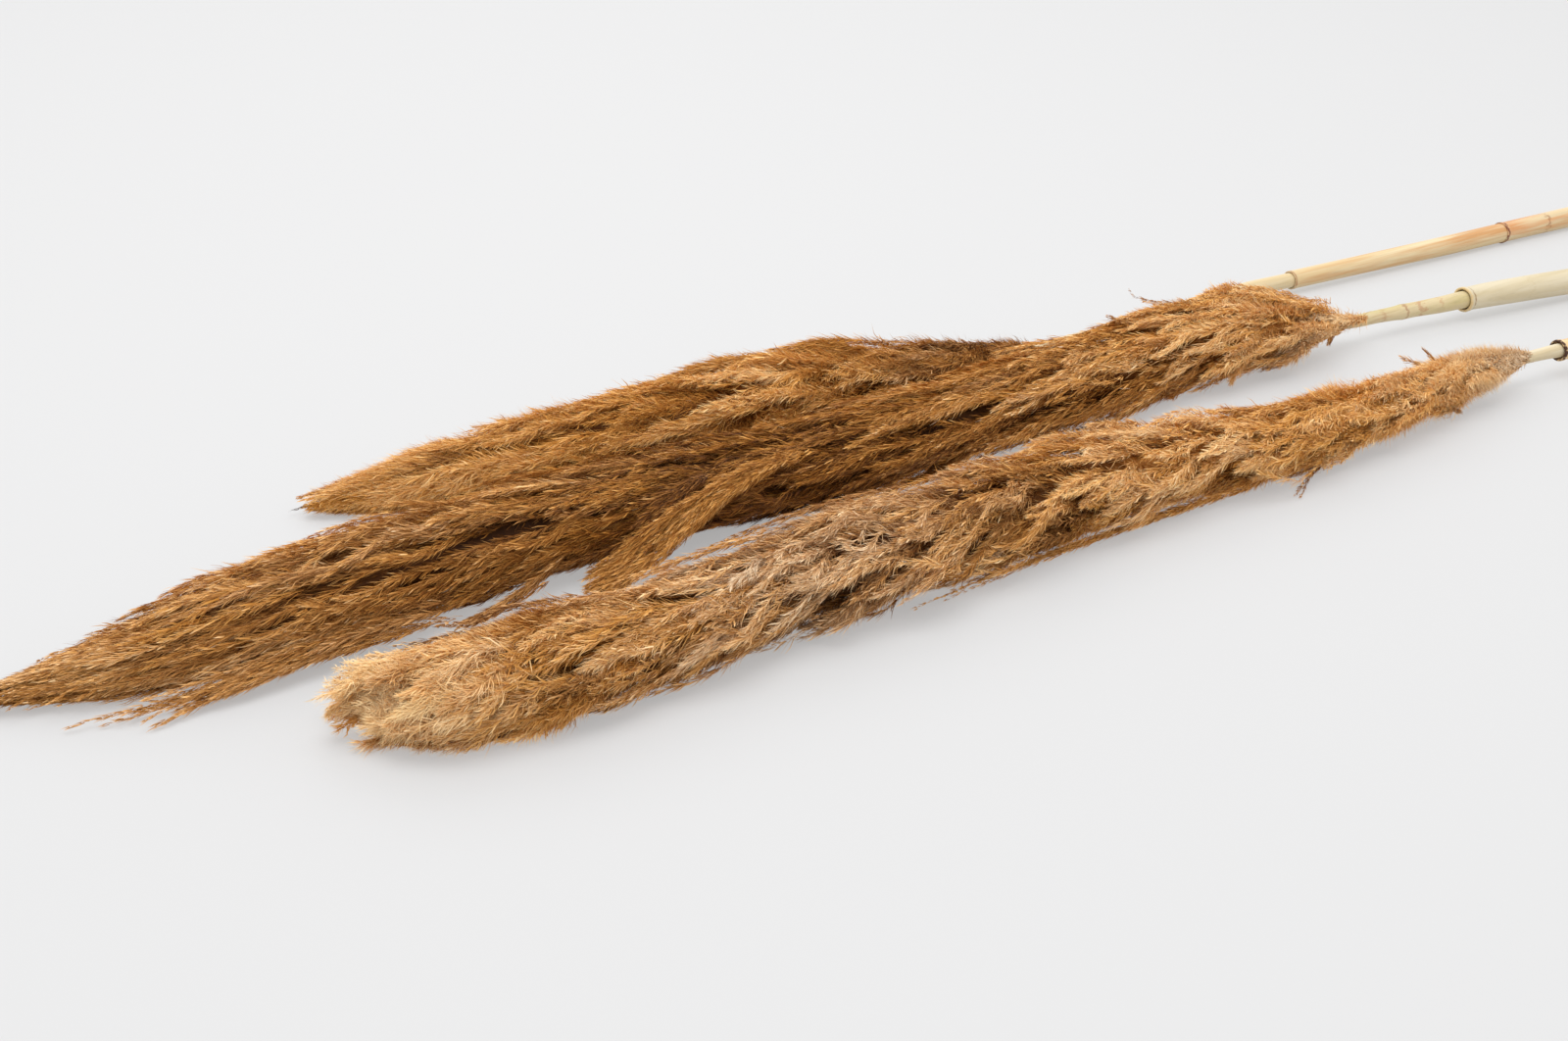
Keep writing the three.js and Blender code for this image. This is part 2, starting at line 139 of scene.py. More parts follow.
class Plume:
    def __init__(self, rows, trim):
        self.trim = np.array(trim, float)
        self.base, self.tip = rows[0][0], rows[-1][0]
        self.length = self.base - self.tip
        self.columns = table(rows)
        g = np.random.default_rng(int(self.base))
        self.waves = [(g.uniform(3, 16), int(g.integers(1, 4)), g.uniform(0, TAU), g.uniform(0.3, 1)) for _ in range(9)]

    def at(self, q):
        return self.columns(self.base + (self.tip - self.base) * q)

    def lumps(self, q, phi):
        return sum(a * np.sin(TAU * f * q + n * phi + p) for f, n, p, a in self.waves) / 4.0

    def point(self, q, phi, rho):
        y, z, w, t = self.at(q)
        up = np.interp(q, self.trim[:, 0], self.trim[:, 1]) * np.maximum(0, np.cos(phi - math.radians(65)))
        low = np.interp(q, self.trim[:, 0], self.trim[:, 2]) * np.maximum(0, np.cos(phi - math.radians(245)))
        k = rho * (1 + up + low + 0.05 * self.lumps(q, phi))
        x = self.base + (self.tip - self.base) * q
        p = np.stack([x, y + k * w * np.cos(phi), z + k * t * np.sin(phi)], -1)
        p[..., 2] = 0.5 * (p[..., 2] + np.sqrt(p[..., 2] ** 2 + 1.6))
        return p


PLUMES = {"back": Plume(BACK_PLUME, TRIM["back"]), "middle": Plume(MIDDLE_PLUME, TRIM["middle"]), "front": Plume(FRONT_PLUME, TRIM["front"])}

# ---------------------------------------------------------------- colour: a table of hue (u) against lightness (v)
GREY = [(58, 44, 32), (104, 84, 62), (148, 126, 100), (186, 164, 136), (216, 196, 168), (246, 232, 210)]
BROWN = [(34, 17, 5), (90, 52, 18), (144, 93, 44), (188, 135, 77), (224, 175, 118), (248, 222, 180)]
ORANGE = [(58, 27, 3), (126, 72, 13), (180, 116, 38), (214, 152, 69), (238, 184, 108), (252, 220, 162)]


def linear(rgb):
    c = np.array(rgb, float) / 255
    return np.where(c <= 0.04045, c / 12.92, ((c + 0.055) / 1.055) ** 2.4)


def link(tree, a, b):
    tree.links.new(a, b)


def ramp(tree, colours, fac):
    n = tree.nodes.new("ShaderNodeValToRGB")
    n.color_ramp.interpolation = "LINEAR"
    while len(n.color_ramp.elements) < len(colours):
        n.color_ramp.elements.new(0.5)
    for i, c in enumerate(colours):
        e = n.color_ramp.elements[i]
        e.position = i / (len(colours) - 1)
        e.color = (*linear(c), 1)
    link(tree, fac, n.inputs["Fac"])
    return n.outputs["Color"]


def mix(tree, a, b, fac, blend="MIX"):
    n = tree.nodes.new("ShaderNodeMix")
    n.data_type = "RGBA"
    n.blend_type = blend
    for socket, value in ((n.inputs[6], a), (n.inputs[7], b)):
        if isinstance(value, bpy.types.NodeSocket):
            link(tree, value, socket)
        else:
            socket.default_value = (*linear(value), 1)
    if isinstance(fac, bpy.types.NodeSocket):
        link(tree, fac, n.inputs[0])
    else:
        n.inputs[0].default_value = fac
    return n.outputs[2]


def maprange(tree, value, a, b, c=0.0, d=1.0):
    n = tree.nodes.new("ShaderNodeMapRange")
    link(tree, value, n.inputs[0])
    for i, v in enumerate((a, b, c, d)):
        n.inputs[1 + i].default_value = v
    return n.outputs[0]


def maths(tree, op, a, b=0.0):
    n = tree.nodes.new("ShaderNodeMath")
    n.operation = op
    for socket, value in ((n.inputs[0], a), (n.inputs[1], b)):
        if isinstance(value, bpy.types.NodeSocket):
            link(tree, value, socket)
        else:
            socket.default_value = value
    return n.outputs[0]


def noise(tree, vector, scale, detail=3.0, rough=0.55):
    n = tree.nodes.new("ShaderNodeTexNoise")
    n.inputs["Scale"].default_value = 1.0
    n.inputs["Detail"].default_value = detail
    n.inputs["Roughness"].default_value = rough
    m = tree.nodes.new("ShaderNodeMapping")
    m.inputs["Scale"].default_value = scale
    link(tree, vector, m.inputs["Vector"])
    link(tree, m.outputs["Vector"], n.inputs["Vector"])
    return n.outputs["Fac"]


def material(name, roughness, sheen=0.0, specular=0.3):
    m = bpy.data.materials.new(name)
    m.use_nodes = True
    b = m.node_tree.nodes["Principled BSDF"]
    b.inputs["Roughness"].default_value = roughness
    b.inputs["Specular IOR Level"].default_value = specular
    b.inputs["Sheen Weight"].default_value = sheen
    b.inputs["Sheen Roughness"].default_value = 0.5
    return m, m.node_tree, b


def hair_material(name):
    m, tree, b = material(name, 0.72, sheen=0.0, specular=0.28)
    uv = tree.nodes.new("ShaderNodeUVMap")
    uv.uv_map = "OFBake"
    split = tree.nodes.new("ShaderNodeSeparateXYZ")
    link(tree, uv.outputs["UV"], split.inputs[0])
    u, v = split.outputs[0], split.outputs[1]
    low = mix(tree, ramp(tree, GREY, v), ramp(tree, BROWN, v), maprange(tree, u, 0.0, 0.5))
    link(tree, mix(tree, low, ramp(tree, ORANGE, v), maprange(tree, u, 0.5, 1.0)), b.inputs["Base Color"])
    return m


HAIR = {stem: hair_material(f"{stem}_plume_hair") for stem in PLUMES}

# ---------------------------------------------------------------- hairs
store = {}  # node name: lists of (vertices, quads, triangles, uv)


def keep(node, verts, quads, tris, uv):
    store.setdefault(node, []).append((verts, quads, tris, uv))


def add_hairs(nodes, base, mid, tip, width, side, u, v0, v1):
    """One flat tapering ribbon for each row, filed under the node in nodes."""
    nodes = np.asarray(nodes)
    for z in (base, mid, tip):
        z[:, 2] = np.maximum(z[:, 2], 0.25)
    for name in np.unique(nodes):
        i = np.nonzero(nodes == name)[0]
        w = side[i] * width[i][:, None] * 0.5
        verts = np.stack([base[i] - w, base[i] + w, mid[i] + w * 0.85, mid[i] - w * 0.85, tip[i]], 1)
        verts[:, :, 2] = np.maximum(verts[:, :, 2], 0.05)
        n = len(i)
        k = 5 * np.arange(n)[:, None]
        du = 0.003
        uu = np.clip(u[i], 0.01, 0.99)
        a, c = np.clip(v0[i], 0.01, 0.99), np.clip(v1[i], 0.01, 0.99)
        m = 0.5 * (a + c)
        uv = np.stack([
            np.stack([uu - du, a], -1), np.stack([uu + du, a], -1), np.stack([uu + du, m], -1),
            np.stack([uu - du, m], -1), np.stack([uu, c], -1)], 1)
        keep(str(name), verts.reshape(-1, 3), k + np.array([0, 1, 2, 3]), k + np.array([3, 2, 4]), uv.reshape(-1, 2))


def branch_of(stem, q, phi):
    """The branch node that a point of the plume belongs to."""
    out = np.empty(q.shape, dtype="U40")
    lo = -9.0
    for name, to, directions in TIERS[stem]:
        here = (q >= lo) & (q < to - 0.03)
        lo = to - 0.03
        turn = np.degrees(phi) - TWIST[stem] * np.clip(q, 0, 1)
        gaps = np.stack([np.abs((turn - d + 180) % 360 - 180) for _, d in directions])
        which = np.argmin(gaps, 0)
        for k, (side, _) in enumerate(directions):
            out[here & (which == k)] = f"{stem}_{name}_{side}_branch"
    return out


def noise2(x, y, seed):
    g = np.random.default_rng(seed)
    values = g.uniform(-1, 1, (64, 64))
    ix, iy = np.floor(x).astype(int), np.floor(y).astype(int)
    fx, fy = x - ix, y - iy
    fx, fy = fx * fx * (3 - 2 * fx), fy * fy * (3 - 2 * fy)
    at = lambda a, b: values[a % 64, b % 64]
    return (at(ix, iy) * (1 - fx) + at(ix + 1, iy) * fx) * (1 - fy) + (at(ix, iy + 1) * (1 - fx) + at(ix + 1, iy + 1) * fx) * fy


def curls(p, size, seed):
    """A smooth field of directions, so that neighbouring hairs curl the same way."""
    g = np.random.default_rng(seed)
    out = np.zeros_like(p)
    for _ in range(5):
        f = g.normal(size=3) * TAU / size * 0.6
        a = g.normal(size=3)
        out += a * np.sin(p @ f + g.uniform(0, TAU))[:, None]
    return out / 1.6


def grow(path, n_ropes, per, hair_len, spread, u, v, nodes_of, outward_of, wool=None, rope_r=0.7,
         root_painted_shade=0.20, tip_light=0.13, curl=0.25, width=0.30, flat=0.6, floret=0.15, jitter=0.08):
    """Hairs along n_ropes fine branchlets. path(r, t) gives the points of the branchlets r at shares t of their length."""
    r = np.repeat(np.arange(n_ropes), per)
    n = len(r)
    s = rng.random(n) ** 0.9
    p = path(r, s)
    d = 0.02
    tangent = unit(path(r, np.minimum(s + d, 1.02)) - path(r, np.maximum(s - d, -0.02)))
    out = outward_of(r, s, p)
    out = unit(out - tangent * np.sum(out * tangent, -1, keepdims=True))
    across = np.cross(tangent, out)
    a = rng.random(n) * TAU
    away = unit(np.cos(a)[:, None] * across + flat * np.sin(a)[:, None] * out + 0.12 * out)
    end = smooth(0.72, 1, s)
    angle = np.radians(spread(r, s) * (0.3 + 1.0 * rng.random(n)) * (1 - 0.55 * end))
    length = hair_len(r, s) * rng.uniform(0.5, 1.25, n) * (1 - 0.5 * end)
    fuzz = (wool(r, s) if wool else 0 * s)[:, None]
    heading = unit(tangent * np.cos(angle)[:, None] + away * np.sin(angle)[:, None]
                   + 0.65 * fuzz * curls(p, 18, 1) + (jitter + 0.5 * fuzz) * rng.normal(size=(n, 3)))
    ahead = unit(heading * (1 - curl) + tangent * curl + 0.8 * fuzz * curls(p, 12, 2) + (1.2 * jitter + 0.5 * fuzz) * rng.normal(size=(n, 3)))
    length = length * (1 - 0.3 * np.clip(fuzz[:, 0], 0, 1))
    base = p + away * (rope_r * rng.random(n))[:, None]
    mid = base + heading * (0.5 * length)[:, None]
    big = rng.random(n) < floret
    tip = mid + ahead * (np.where(big, 0.32, 0.5) * length)[:, None]
    b = rng.normal(0, 0.75, n)
    side = unit(np.cross(heading, out) * np.cos(b)[:, None] + out * np.sin(b)[:, None])
    w = width * rng.uniform(0.6, 1.35, n) * np.where(big, 2.1, 1.0)
    tone = v(r, s) + 0.085 * rng.normal(size=n)
    tone = np.where(big, tone + 0.10 + 0.06 * rng.normal(size=n), tone)
    hue = u(r, s) + 0.05 * rng.normal(size=n)
    odd = rng.random(n) < 0.003
    hue = np.where(odd, rng.random(n), hue)
    tone = np.where(odd, rng.random(n), tone)
    # Each hair is darker at its root, painted shade where other hair covers it, and lighter towards its tip.
    add_hairs(nodes_of(r, s, p), base, mid, tip, w, side, hue, tone - root_painted_shade, tone + tip_light)


# Where each plume is light or dark, orange or grey, along its length: (share from the base, hue, lightness)
TONES = {
    "back": [(0.0, 0.60, 0.46), (0.12, 0.60, 0.47), (0.22, 0.74, 0.56), (0.35, 0.98, 0.71), (0.5, 0.99, 0.62), (0.62, 0.99, 0.58), (0.8, 0.99, 0.70), (0.93, 0.99, 0.72), (1.0, 0.8, 0.50)],
    "middle": [(0.0, 0.48, 1.05), (0.05, 0.60, 1.0), (0.12, 0.84, 0.86), (0.25, 0.90, 0.64), (0.38, 0.82, 0.55), (0.5, 0.82, 0.35), (0.57, 0.84, 0.27), (0.65, 0.80, 0.39), (0.72, 0.76, 0.52), (0.8, 0.72, 0.62), (0.92, 0.70, 0.60), (1.0, 0.66, 0.56)],
    "front": [(0.0, 0.22, 1.03), (0.05, 0.42, 1.0), (0.12, 0.92, 0.90), (0.19, 0.98, 0.80), (0.27, 0.98, 0.65), (0.34, 0.94, 0.82), (0.43, 0.82, 0.84), (0.51, 0.80, 0.63), (0.6, 0.66, 0.68), (0.67, 0.44, 0.68), (0.75, 0.42, 0.79), (0.82, 0.64, 0.71), (0.9, 0.78, 0.59), (0.955, 0.78, 0.92), (1.0, 0.76, 1.02)],
}
LIFT = {"back": 0.0, "middle": 0.0, "front": 0.0}


def tone_of(stem, q, phi, column):
    rows = np.array(TONES[stem])
    value = np.interp(q, rows[:, 0], rows[:, column])
    f = {"back": 9, "middle": 14, "front": 12}[stem]
    seed = {"back": 3, "middle": 5, "front": 8}[stem] + 10 * column
    patch = noise2(q * f, phi * 0.9 + 7, seed)
    return value + (0.17 if column == 1 else 0.12 if stem == "front" else 0.09) * patch + (LIFT[stem] if column == 2 else 0)


def plume_hairs(stem, locks, m, per, lock_len, hair_len, spread, droop, wool, fluff, rho_end=(0.945, 0.06),
                lock_r=0.85, width=0.30, curl=0.25, tint=0.075, rise_power=1.8, sway=0.13, tip_at=lambda phi: 1.02, dim=0.0,
                tip_hair=1.0):
    """Locks of m branchlets each, that leave the inside of the plume and come together at the lock's free end."""
    pl = PLUMES[stem]
    order = np.arange(locks)
    q0 = ((order + rng.random(locks)) / locks) ** 0.97 - 0.004
    phi0 = order * 2.39996 + rng.normal(0, 0.35, locks)
    length = rng.uniform(*lock_len, locks) * (1 - 0.35 * smooth(0.78, 1.0, q0)) * (1 - 0.45 * smooth(0.2, 0.0, q0))
    dq = length / pl.length
    over = q0 + dq - tip_at(phi0)
    q0 = np.where(over > 0, q0 - over * rng.uniform(0.6, 1.1, locks), q0)
    dphi = rng.normal(0, sway, locks)
    fall = -np.cos(phi0) * rng.uniform(*droop, locks) * length / 90
    rho0 = rng.uniform(0.30, 0.62, locks) + 0.42 * smooth(0.2, 0.0, q0) * rng.random(locks)
    rho1 = rng.normal(*rho_end, locks)
    inner = rng.random(locks) < 0.22
    rho1 = np.where(inner, rho1 - rng.uniform(0.08, 0.25, locks), rho1)
    stray = rng.random(locks) < 0.07
    rho1 = np.where(stray, rho1 + rng.uniform(0.06, 0.18, locks), rho1)
    wob = rng.normal(0, 0.05, locks)
    wf = rng.uniform(0.8, 2.0, locks)
    wp = rng.random(locks) * TAU
    seen = np.clip(q0 + 0.6 * dq, 0, 1)
    lock_u = tone_of(stem, seen, phi0, 1) + rng.normal(0, 0.07, locks)
    # Locks of a deeper layer are made darker by a fixed amount: painted shade of their depth.
    lock_v = tone_of(stem, seen, phi0, 2) + rng.normal(0, tint, locks) - dim
    ropes = locks * m
    lock = np.repeat(np.arange(locks), m)
    oa, ob = rng.normal(0, 1, ropes), rng.normal(0, 1, ropes)
    part = rng.uniform(0.72, 1.05, ropes)
    lag = rng.uniform(-0.12, 0.12, ropes)
    bend = rng.normal(0, 0.35, ropes)
    ru = lock_u[lock] + rng.normal(0, 0.03, ropes)
    # Ropes that lie deeper in their lock are a little darker: painted shade.
    rv = lock_v[lock] + rng.normal(0, 0.045, ropes) + 0.03 * ob

    def coords(r, t):
        k = lock[r]
        tt = t * part[r] + lag[r]
        q = q0[k] + dq[k] * tt
        tc = np.clip(tt, 0, 1.2)
        rise = 1 - (1 - np.clip(tc, 0, 1)) ** rise_power
        close = lock_r * (1 - 0.8 * smooth(0.3, 1.05, tc))
        rho = lerp(rho0[k], rho1[k], rise) + 0.085 * ob[r] * close
        phi = (phi0[k] + dphi[k] * tc + fall[k] * tc ** 1.3 + wob[k] * np.sin(wf[k] * TAU * tc + wp[k])
               + 0.17 * oa[r] * close + 0.08 * bend[r] * tc * (1 - tc))
        return q, phi, rho

    def path(r, t):
        return pl.point(*coords(r, t))

    def outward(r, t, p):
        q, phi, rho = coords(r, t)
        y, z, w, h = pl.at(q)
        return unit(np.stack([np.zeros_like(phi), np.cos(phi) / w, np.sin(phi) / h], -1))

    def nodes_of(r, t, p):
        q, phi, rho = coords(r, t * 0 + 0.6)
        return branch_of(stem, q, phi)

    # Each rope's lightness, with painted shade: darker the deeper it lies inside the plume, darker at the rope's start
    # where other hair covers it and lighter at its end, and darker on the lower near side, where less light falls.
    def shade(r, t):
        q, phi, rho = coords(r, t)
        return rv[r] + 0.02 - 0.50 * np.clip(0.90 - rho, 0, 0.5) + 0.10 * (t - 0.55) + 0.03 - 0.12 * np.clip(np.cos(phi - math.radians(250)), 0, 1)

    at_q = lambda r, t: np.clip(coords(r, t)[0], 0, 1)
    grow(path, ropes, per,
         lambda r, t: hair_len * (1 + 0.45 * fluff(at_q(r, t))) * (1 - (1 - tip_hair) * smooth(0.88, 1.0, at_q(r, t))),
         lambda r, t: spread * (1 + 1.2 * fluff(at_q(r, t))),
         lambda r, t: ru[r], shade, nodes_of, outward, wool=lambda r, t: wool(at_q(r, t)), width=width, curl=curl)


MIDDLE_WOOL = lambda q: 0.5 * smooth(0.22, 0.04, q) + 0.06
FRONT_WOOL = lambda q: 0.12 + 0.36 * smooth(0.36, 0.12, q) + 0.16 * smooth(0.80, 0.97, q)
FRONT_TIP = lambda phi: 0.975 - 0.026 * np.cos(phi - math.radians(200))
plume_hairs("middle", 430, 4, 175, (55, 115), 9.0, 13.5, (0.15, 0.75), wool=MIDDLE_WOOL,
            fluff=lambda q: 0.3 * smooth(0.2, 0.02, q), tip_at=lambda phi: 1.0, tip_hair=0.6)
plume_hairs("middle", 230, 3, 125, (50, 80), 8.5, 18, (-0.05, 0.05), wool=MIDDLE_WOOL, fluff=lambda q: 0 * q,
            rho_end=(0.84, 0.03), lock_r=1.7, tint=0.05, dim=0.05, rise_power=3.0, tip_at=lambda phi: 0.97)
plume_hairs("back", 220, 4, 175, (36, 75), 9.0, 21, (0.1, 0.6), wool=lambda q: 0.20 + 0 * q, fluff=lambda q: 0.25 + 0 * q,
            width=0.25, curl=0.30, tip_at=lambda phi: 0.955, tip_hair=0.35)
plume_hairs("back", 120, 3, 125, (36, 60), 9.0, 18, (-0.05, 0.05), wool=lambda q: 0.10 + 0 * q, fluff=lambda q: 0 * q,
            rho_end=(0.84, 0.03), lock_r=1.7, tint=0.05, dim=0.05, rise_power=3.0, tip_at=lambda phi: 0.95)
plume_hairs("front", 430, 4, 180, (32, 68), 8.0, 19, (0.6, 1.7), wool=FRONT_WOOL, width=0.25,
            fluff=lambda q: 0.6 * smooth(0.80, 0.97, q) + 0.5 * smooth(0.38, 0.14, q), tip_at=FRONT_TIP, sway=0.28, rho_end=(0.95, 0.06))
plume_hairs("front", 320, 3, 125, (36, 64), 8.0, 22, (-0.05, 0.05), wool=FRONT_WOOL, fluff=lambda q: 0 * q,
            rho_end=(0.84, 0.03), lock_r=1.7, tint=0.05, dim=0.05, rise_power=3.0, tip_at=lambda phi: FRONT_TIP(phi) - 0.02)


def spray(stem, points, radius, ropes, per, hair_len, angle, u=0.6, v=0.52, node=None, wool=0.0, spread_out=1.0,
          width=0.30, shortest=0.72):
    """Branchlets that stand clear of the plume, along a line of points, as thick as radius (first and last)."""
    pts = np.array(points, float)
    share = np.concatenate([[0], np.cumsum(np.linalg.norm(np.diff(pts, axis=0), axis=1))])
    share /= share[-1]
    a = rng.random(ropes) * TAU
    k = np.sqrt(rng.random(ropes))
    lead = rng.uniform(0, 0.25, ropes)
    reach = rng.uniform(shortest, 1.0, ropes)
    wig = rng.normal(0, 1, (ropes, 4))
    if ropes == 1:
        k, lead, reach = k * 0, lead * 0, reach * 0 + 1
    line = unit(pts[-1] - pts[0])
    e1 = unit(np.cross(line, [0, 0, 1.0]))
    e2 = np.cross(e1, line)

    def path(r, t):
        s = lead[r] + (reach[r] - lead[r]) * t
        p = np.stack([np.interp(s, share, pts[:, c]) for c in range(3)], -1)
        past = np.clip(s - 1, 0, 1) * 60
        p = p + past[:, None] * line
        rr = lerp(radius[0], radius[1], np.clip(s, 0, 1)) * k[r]
        p = p + (rr * np.cos(a[r]))[:, None] * e1 + (rr * np.sin(a[r]))[:, None] * e2
        sway = spread_out * smooth(0.2, 1.0, s)
        p = p + (wig[r, 0] * sway)[:, None] * e1 + (0.6 * wig[r, 1] * sway)[:, None] * e2
        p[:, 2] = 0.5 * (p[:, 2] + np.sqrt(p[:, 2] ** 2 + 1.0))
        return p

    if node is None:
        pl = PLUMES[stem]
        c = pts[len(pts) // 2]
        q = np.array([(pl.base - c[0]) / pl.length])
        y, z, w, h = pl.at(q)
        node = str(branch_of(stem, np.clip(q, 0, 1), np.arctan2((c[2] - z) / h, (c[1] - y) / w))[0])
    rv = v + rng.normal(0, 0.05, ropes)
    ru = u + rng.normal(0, 0.05, ropes)
    # Spray ropes are darker where they start, under other hair, and lighter at their ends: painted shade.
    grow(path, ropes, per, lambda r, t: hair_len + 0 * t, lambda r, t: angle + 0 * t,
         lambda r, t: ru[r], lambda r, t: rv[r] + 0.06 * (t - 0.5), lambda r, t, p: np.full(len(r), node),
         lambda r, t, p: np.tile([0.0, -0.5, 0.85], (len(r), 1)), wool=lambda r, t: wool + 0 * t, width=width, rope_r=0.5)


# the branch that has dropped from the middle plume, in three fans
HANG = "middle_hanging_branch"
spray("middle", [(490, 729, 34), (462, 721.5, 34), (441, 718, 31), (421, 717, 26), (404, 717, 18), (390, 720, 9), (375, 724, 2.2)],
      (3.0, 3.6), 22, 190, 6.0, 17, 0.84, 0.55, HANG, spread_out=2.4)
spray("middle", [(488, 729, 34), (446, 721, 32), (427, 714, 26), (410, 713, 17), (397, 716, 7), (388, 718, 2.2)],
      (3.0, 3.2), 20, 190, 6.0, 17, 0.84, 0.57, HANG, spread_out=2.2)
spray("middle", [(498, 728, 33), (471, 721.5, 34), (445, 717, 29), (418, 712, 18), (403, 712, 8), (394, 713, 2.2)],
      (3.0, 3.0), 17, 190, 6.0, 17, 0.84, 0.55, HANG, spread_out=2.0)
spray("middle", [(412, 716, 20), (393, 717, 9.5), (375, 720, 2.5)], (4.0, 4.0), 14, 190, 6.5, 20, 0.80, 0.55, HANG, spread_out=2.0, shortest=0.5)
spray("middle", [(408, 709, 17), (390, 709, 8), (370, 711, 2.2)], (4.0, 3.5), 14, 190, 6.5, 20, 0.80, 0.57, HANG, spread_out=2.0, shortest=0.5)
spray("middle", [(372, 724, 14), (350, 718, 9), (330, 716, 5), (316, 717, 2)], (3.0, 0.8), 6, 170, 6.5, 14, 0.6, 0.52, spread_out=1.6)
# A dark lock at the hanging branch's root: painted shade of the deep hollow beside it.
spray("middle", [(444, 731, 35), (428, 726, 31), (414, 725, 26.5), (400, 724, 22)], (3.0, 4.5), 8, 190, 7, 18, 0.75, 0.24, spread_out=1.8)
# wisps of the middle plume: the tip's fan, a lower lock beside it, curls and tufts at the base
for i in range(16):
    y0 = lerp(738, 764, i / 15)
    y1 = lerp(731, 775, i / 15) + rng.normal(0, 2)
    x1 = rng.uniform(138, 168)
    spray("middle", [(238, lerp(734, 752, i / 15), 18 + 4 * math.sin(i * 2.1)), (190, y0, 11 + 3 * math.sin(i * 1.7)), (x1 + 18, lerp(y0, y1, 0.6), 7 + 3 * math.sin(i * 1.3)), (x1, y1, 3.5 + 2.5 * math.sin(i * 1.9))],
          (1.8, 0.4), 2, 110, 5.0, 10, 0.68, 0.56, spread_out=1.2)
spray("middle", [(320, 718, 13), (275, 719, 12), (232, 715, 8), (207, 716, 5), (185, 719, 3), (163, 723, 1.5)], (7.0, 1.6), 20, 210, 7.5, 17, 0.68, 0.62, spread_out=2.2, shortest=0.4)
spray("middle", [(300, 717, 11), (255, 718, 9), (224, 714, 6), (205, 712, 3.5), (187, 708.5, 1.5)], (6.0, 1.6), 16, 210, 7.5, 17, 0.68, 0.64, spread_out=2.2, shortest=0.4)
spray("middle", [(335, 755, 28), (286, 761, 25), (262, 765, 21), (245, 768, 17)], (2.0, 0.5), 3, 130, 5.5, 12, 0.6, 0.58, spread_out=1.5)
spray("middle", [(300, 754, 27), (253, 763, 22), (224, 766, 16)], (2.0, 0.5), 3, 130, 5.5, 12, 0.6, 0.58, spread_out=1.5)
spray("middle", [(800, 765, 32), (775, 766, 37), (760, 766, 38), (744, 776, 39), (737, 786, 40), (739, 793, 42)], (2.5, 1.0), 5, 190, 4.5, 26, 0.6, 0.55, wool=0.25, spread_out=1.6)
spray("middle", [(735, 760, 37), (712, 761, 39), (707, 773, 40), (703, 783, 42)], (1.5, 0.4), 2, 130, 3.5, 24, 0.6, 0.50, wool=0.2)
spray("middle", [(846, 751, 21), (828, 750, 27), (807, 761, 33), (786, 769, 37), (752, 768, 38)], (6.0, 6.5), 26, 260, 8, 30, 0.92, 0.76, wool=0.45, spread_out=2.5)
spray("middle", [(838, 750, 19), (812, 746, 20), (806, 741, 15), (794, 742, 11), (778, 745, 9)], (5.0, 6.0), 26, 260, 8, 28, 0.46, 0.68, wool=0.42, spread_out=2.5)
spray("middle", [(785, 742, 26), (770, 736, 21), (762, 736, 11), (759.4, 737, 1.5)], (2.5, 0.6), 5, 200, 7, 20, 0.7, 0.68, wool=0.15)
spray("middle", [(860, 751, 15), (850, 750, 15), (843, 747.5, 10), (839, 747, 5)], (1.5, 0.5), 3, 150, 4, 24, 0.66, 0.56, wool=0.2)
spray("middle", [(866, 751.5, 13.5), (850, 751.5, 16), (825, 754, 24)], (1.2, 4.5), 8, 220, 6, 22, 0.45, 0.95, wool=0.5)
spray("middle", [(790, 765, 31), (760, 774, 34), (730, 775, 35), (700, 770, 34)], (4.0, 3.0), 12, 220, 7, 18, 0.80, 0.64, wool=0.1, spread_out=1.2, shortest=0.5)
# the back plume: the thin dark end and the steps of its upper edge
spray("back", [(345, 842, 11), (322.6, 858, 8), (313, 859, 3), (300, 862, 1)], (0.8, 0.2), 2, 90, 4, 10, 0.2, 0.18)
spray("back", [(356, 841, 15), (336, 847, 12), (318, 853, 8)], (7.0, 2.2), 16, 200, 7, 20, 0.97, 0.76, wool=0.15, spread_out=1.4, shortest=0.55, width=0.25)
for x0, y0, z0, x1, y1, z1 in ((598, 824, 38, 540, 833, 40), (560, 828, 39, 478, 846, 33), (505, 832, 35, 440, 848, 27), (455, 838, 30, 392, 851, 21), (400, 842, 24, 352, 853, 14)):
    spray("back", [(x0, y0, z0 - 7), (lerp(x0, x1, 0.5), lerp(y0, y1, 0.45), lerp(z0, z1, 0.4) - 2.5), (x1, y1, z1 - 2.5)], (5.0, 1.5), 12, 230, 9.5, 19, 0.92, 0.60, wool=0.08, spread_out=1.4, shortest=0.55, width=0.27)
# the front plume: its trailing branch, the tuft that hangs at its near side, spikes and the tip's loose ends
TRAIL = "front_trailing_branch"
spray("front", [(702, 641, 9), (672, 638, 6), (635, 638, 4.6), (592, 637.5, 3.8), (558, 636.5, 3.0), (534, 635, 2.6), (507, 632.5, 2.2), (477, 628.5, 1.2)],
      (2.4, 0.6), 10, 270, 5.5, 13, 0.82, 0.66, TRAIL, spread_out=0.8, shortest=0.66)
spray("front", [(772, 653, 16), (754, 646, 13), (738, 640, 9), (724, 636, 5.5), (712, 633, 2.5)], (5.5, 3.2), 20, 240, 8.5, 26, 0.90, 0.86, wool=0.3, spread_out=2.0, shortest=0.6)
spray("front", [(735, 641, 6), (713, 636, 2.4), (700, 628, 1.6), (687, 620, 1.0)], (0.8, 0.2), 2, 100, 4, 16, 0.6, 0.48)
